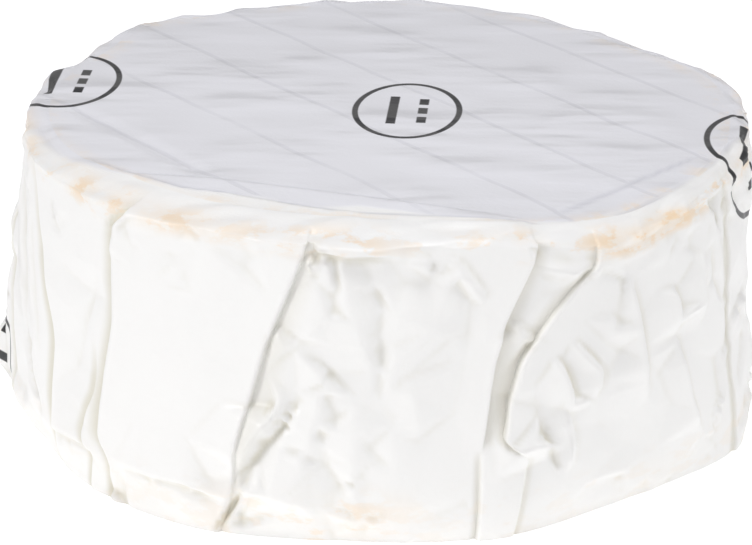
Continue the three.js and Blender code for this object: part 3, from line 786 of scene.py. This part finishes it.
def paper_material():
    material = bpy.data.materials.new("satin_wrapping_paper")
    material.use_nodes = True
    nodes, links = material.node_tree.nodes, material.node_tree.links
    shader = nodes["Principled BSDF"]
    shader.inputs["Roughness"].default_value = PAPER_ROUGHNESS
    shader.inputs["Specular IOR Level"].default_value = PAPER_SHEEN

    def node(kind, **settings):
        made = nodes.new(kind)
        for name, value in settings.items():
            setattr(made, name, value)
        return made

    def join(socket, value):
        if isinstance(value, (int, float, tuple)):
            socket.default_value = value
        else:
            links.new(value, socket)

    def calc(operation, a, b=0.0, clamp=False):
        made = node("ShaderNodeMath", operation=operation, use_clamp=clamp)
        join(made.inputs[0], a)
        join(made.inputs[1], b)
        return made.outputs[0]

    def ramp(value, low, high):
        made = node("ShaderNodeMapRange", interpolation_type="SMOOTHSTEP")
        join(made.inputs["Value"], value)
        made.inputs["From Min"].default_value = low
        made.inputs["From Max"].default_value = high
        return made.outputs["Result"]

    def mix(share, first, second):
        made = node("ShaderNodeMix", data_type="RGBA")
        for socket, value in zip((made.inputs[0], made.inputs[6], made.inputs[7]), (share, first, second)):
            join(socket, value)
        return made.outputs[2]

    def noise(scale, detail, vector, roughness=0.55):
        made = node("ShaderNodeTexNoise")
        made.inputs["Scale"].default_value = scale
        made.inputs["Detail"].default_value = detail
        made.inputs["Roughness"].default_value = roughness
        links.new(vector, made.inputs["Vector"])
        return made.outputs["Fac"]

    def stretched(vector, scale):
        made = node("ShaderNodeMapping")
        made.inputs["Scale"].default_value = scale
        links.new(vector, made.inputs["Vector"])
        return made.outputs["Vector"]

    def attribute(name, output="Fac"):
        return node("ShaderNodeAttribute", attribute_name=name).outputs[output]

    place = node("ShaderNodeTexCoord").outputs["Object"]
    sheet = attribute("sheet", "Vector")
    rind, crevice = attribute("rind"), attribute("crevice")
    flat_top, pressed = attribute("flat_top"), attribute("pressed")
    on_sheet = node("ShaderNodeSeparateXYZ")
    links.new(stretched(sheet, (1 / MM, 1 / MM, 1 / MM)), on_sheet.inputs["Vector"])
    sheet_x, sheet_y = on_sheet.outputs["X"], on_sheet.outputs["Y"]

    # Painted shade: the top drawn greyer and bluer than the side, as less light falls on it
    colour = mix(flat_top, PAPER_WHITE, TOP_PAINTED_SHADE)
    # Painted shade in the pleats' crevices and the crumples' hollows
    colour = mix(calc("MULTIPLY", crevice, CREVICE_SHADE_MIX), colour, PAINTED_CREVICE_SHADE)

    # The rind shows through in broad pale patches with darker spots
    flat_place = stretched(place, (1.0, 1.0, 2.0))
    patch = calc("MULTIPLY", rind, ramp(noise(75.0, 5.0, flat_place, roughness=0.55), 0.38, 0.6))
    colour = mix(calc("MULTIPLY", patch, PATCH_MIX, clamp=True), colour, RIND_TONE)
    spot = calc("MULTIPLY", rind, ramp(noise(150.0, 5.0, flat_place, roughness=0.6), 0.51, 0.6))
    colour = mix(calc("MULTIPLY", spot, SPOT_MIX, clamp=True), colour, RIND_SPOT)

    # Painted shade along the faint grooves across the top, and painted shadow lines beside its folds
    lean = calc("ADD", calc("MULTIPLY", sheet_x, RULE_DIRECTION[0]),
                calc("MULTIPLY", sheet_y, RULE_DIRECTION[1]))
    wobble = calc("MULTIPLY", calc("SUBTRACT", noise(40.0, 1.0, sheet), 0.5), RULE_WOBBLE)
    turns = calc("DIVIDE", calc("ADD", calc("SUBTRACT", lean, RULE_START), wobble), RULE_SPACING)
    off = calc("MULTIPLY", calc("PINGPONG", turns, 0.5), RULE_SPACING)
    rule = calc("MULTIPLY", ramp(off, RULE_WIDTH, 0.2), flat_top)
    rule = calc("MULTIPLY", rule, ramp(noise(55.0, 2.0, sheet), 0.1, 0.6))
    rule = calc("MAXIMUM", calc("MULTIPLY", rule, RULE_MIX), calc("MULTIPLY", pressed, FOLD_SHADOW_MIX))
    colour = mix(rule, colour, PAINTED_LINE_SHADE)

    # Oval stamps, each a ring with bars in it
    cos, sin = math.cos(STAMP_TURN), math.sin(STAMP_TURN)
    ratio = STAMP_HALF_LENGTH / STAMP_HALF_WIDTH

    def inside(value, middle, half):
        off = calc("ABSOLUTE", calc("SUBTRACT", value, middle))
        return ramp(off, half + STAMP_SOFTNESS, half - STAMP_SOFTNESS)

    for x, y in STAMP_PLACES:
        dx, dy = calc("SUBTRACT", sheet_x, x), calc("SUBTRACT", sheet_y, y)
        along = calc("ADD", calc("MULTIPLY", dx, -sin), calc("MULTIPLY", dy, cos))
        across = calc("ADD", calc("MULTIPLY", dx, cos), calc("MULTIPLY", dy, sin))
        wide = calc("MULTIPLY", across, ratio)
        reach = calc("SQRT", calc("ADD", calc("POWER", along, 2.0), calc("POWER", wide, 2.0)))
        steep = calc("SQRT", calc("ADD", calc("POWER", along, 2.0),
                                  calc("POWER", calc("MULTIPLY", wide, ratio), 2.0)))
        off_ring = calc("DIVIDE", calc("MULTIPLY", calc("SUBTRACT", reach, STAMP_HALF_LENGTH), reach), steep)
        mark = inside(off_ring, 0.0, STAMP_LINE)
        for bar_along, bar_across, half_length, half_width in STAMP_BARS:
            bar = calc("MULTIPLY", inside(along, bar_along, half_length),
                       inside(across, bar_across, half_width))
            mark = calc("MAXIMUM", mark, bar)
        colour = mix(mark, colour, INK)
    links.new(colour, shader.inputs["Base Color"])

    # Fine wrinkles, drawn out from left to right across the top
    drawn_out = stretched(sheet, (0.3, 1.0, 1.0))
    wrinkled = ramp(noise(45.0, 1.0, sheet), 0.3, 0.65)
    streaks = calc("MULTIPLY", noise(150.0, 1.6, drawn_out, roughness=0.45), wrinkled)
    streaks = calc("MULTIPLY", streaks, flat_top)
    grain = noise(800.0, 2.0, place)
    height = calc("ADD", calc("MULTIPLY", streaks, STREAK_HEIGHT), calc("MULTIPLY", grain, GRAIN_HEIGHT))
    height = calc("SUBTRACT", height, calc("MULTIPLY", rule, RULE_DEPTH))
    bump = node("ShaderNodeBump")
    bump.inputs["Strength"].default_value = 0.6
    bump.inputs["Distance"].default_value = MM
    links.new(height, bump.inputs["Height"])
    links.new(bump.outputs["Normal"], shader.inputs["Normal"])
    return material


paper = bpy.data.objects.new("wrapping_paper", paper_mesh())
bpy.context.collection.objects.link(paper)
paper.data.materials.append(paper_material())
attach(paper, "root")
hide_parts("wrapped_wheel")

# THE STUDIO
# A plain white table that glows softly and runs out of view, in a room with bright walls and a dimmer
# ceiling, so the side of the wheel is lighter than its top. Soft lights stand at the left, at the right
# and overhead, with their places in metres and their power in watts.

FLOOR_SIZE = 6.0
FLOOR_WHITE = (0.95, 0.95, 0.95, 1.0)
FLOOR_GLOW = 0.31         # light that the table gives off
FLOOR_SEEN = 0.56         # how bright it looks besides, so that it stays white
floor_mesh = bpy.data.meshes.new("studio_floor")
half = FLOOR_SIZE / 2
corners = [(-half, -half, 0), (half, -half, 0), (half, half, 0), (-half, half, 0)]
floor_mesh.from_pydata(corners, [], [(0, 1, 2, 3)])
floor = bpy.data.objects.new("studio_floor", floor_mesh)
bpy.context.collection.objects.link(floor)
floor_material = bpy.data.materials.new("studio_white")
floor_material.use_nodes = True
floor_shader = floor_material.node_tree.nodes["Principled BSDF"]
floor_shader.inputs["Base Color"].default_value = FLOOR_WHITE
floor_shader.inputs["Roughness"].default_value = 0.9
floor_shader.inputs["Emission Color"].default_value = (1.0, 1.0, 1.0, 1.0)
floor_nodes, floor_links = floor_material.node_tree.nodes, floor_material.node_tree.links
seen = floor_nodes.new("ShaderNodeMapRange")
seen.inputs["To Min"].default_value = FLOOR_GLOW
seen.inputs["To Max"].default_value = FLOOR_SEEN
floor_links.new(floor_nodes.new("ShaderNodeLightPath").outputs["Is Camera Ray"], seen.inputs["Value"])
floor_links.new(seen.outputs["Result"], floor_shader.inputs["Emission Strength"])
floor.data.materials.append(floor_material)

WALLS_LIGHT = (0.55, 0.545, 0.535, 1.0)
CEILING_LIGHT = (0.40, 0.40, 0.43, 1.0)
room = bpy.data.worlds.new("studio_room")
room.use_nodes = True
room_nodes, room_links = room.node_tree.nodes, room.node_tree.links
direction = room_nodes.new("ShaderNodeTexCoord").outputs["Generated"]
split = room_nodes.new("ShaderNodeSeparateXYZ")
room_links.new(direction, split.inputs["Vector"])
rising = room_nodes.new("ShaderNodeMix")
rising.data_type = "RGBA"
rising.inputs[6].default_value = WALLS_LIGHT
rising.inputs[7].default_value = CEILING_LIGHT
room_links.new(split.outputs["Z"], rising.inputs[0])
room_links.new(rising.outputs[2], room_nodes["Background"].inputs["Color"])
bpy.context.scene.world = room


def soft_light(name, place, aim, size, power, colour):
    light = bpy.data.lights.new(name, "AREA")
    light.shape = "DISK"
    light.size = size
    light.energy = power
    light.color = colour
    lamp = bpy.data.objects.new(name, light)
    lamp.location = place
    lamp.rotation_mode = "QUATERNION"
    lamp.rotation_quaternion = (Vector(aim) - Vector(place)).to_track_quat("-Z", "Y")
    bpy.context.collection.objects.link(lamp)


soft_light("key", place=(-0.95, -0.62, 0.45), aim=(0, 0, 0.03), size=0.3, power=3.1,
           colour=(1.0, 0.99, 0.975))
soft_light("overhead", place=(0.0, -0.11, 0.36), aim=(0, -0.03, 0.05), size=0.15, power=0.44,
           colour=(1.0, 1.0, 1.0))
soft_light("fill", place=(0.95, -0.15, 0.30), aim=(0, 0, 0.03), size=0.4, power=1.3,
           colour=(1.0, 0.995, 0.98))

# THE CAMERA
# A long lens a little above the wheel, as the photograph was taken.

CAMERA_DISTANCE = 600.0
CAMERA_ELEVATION = math.radians(23.526)
CAMERA_AIM = (-1.841, 8.004, 19.303)
LENS, SENSOR = 166.7, 36.0
axis = Vector((*WHEEL_AXIS, 0.0))
camera_data = bpy.data.cameras.new("camera")
camera_data.lens = LENS
camera_data.sensor_width = SENSOR
camera_data.sensor_fit = "HORIZONTAL"
camera = bpy.data.objects.new("camera", camera_data)
camera.location = (axis + CAMERA_DISTANCE * Vector((
    0.0, -math.cos(CAMERA_ELEVATION), math.sin(CAMERA_ELEVATION)))) * MM
aim = (axis + Vector(CAMERA_AIM)) * MM
camera.rotation_mode = "QUATERNION"
camera.rotation_quaternion = (aim - camera.location).to_track_quat("-Z", "Y")
bpy.context.collection.objects.link(camera)
bpy.context.scene.camera = camera
bpy.context.scene.view_settings.view_transform = "Standard"
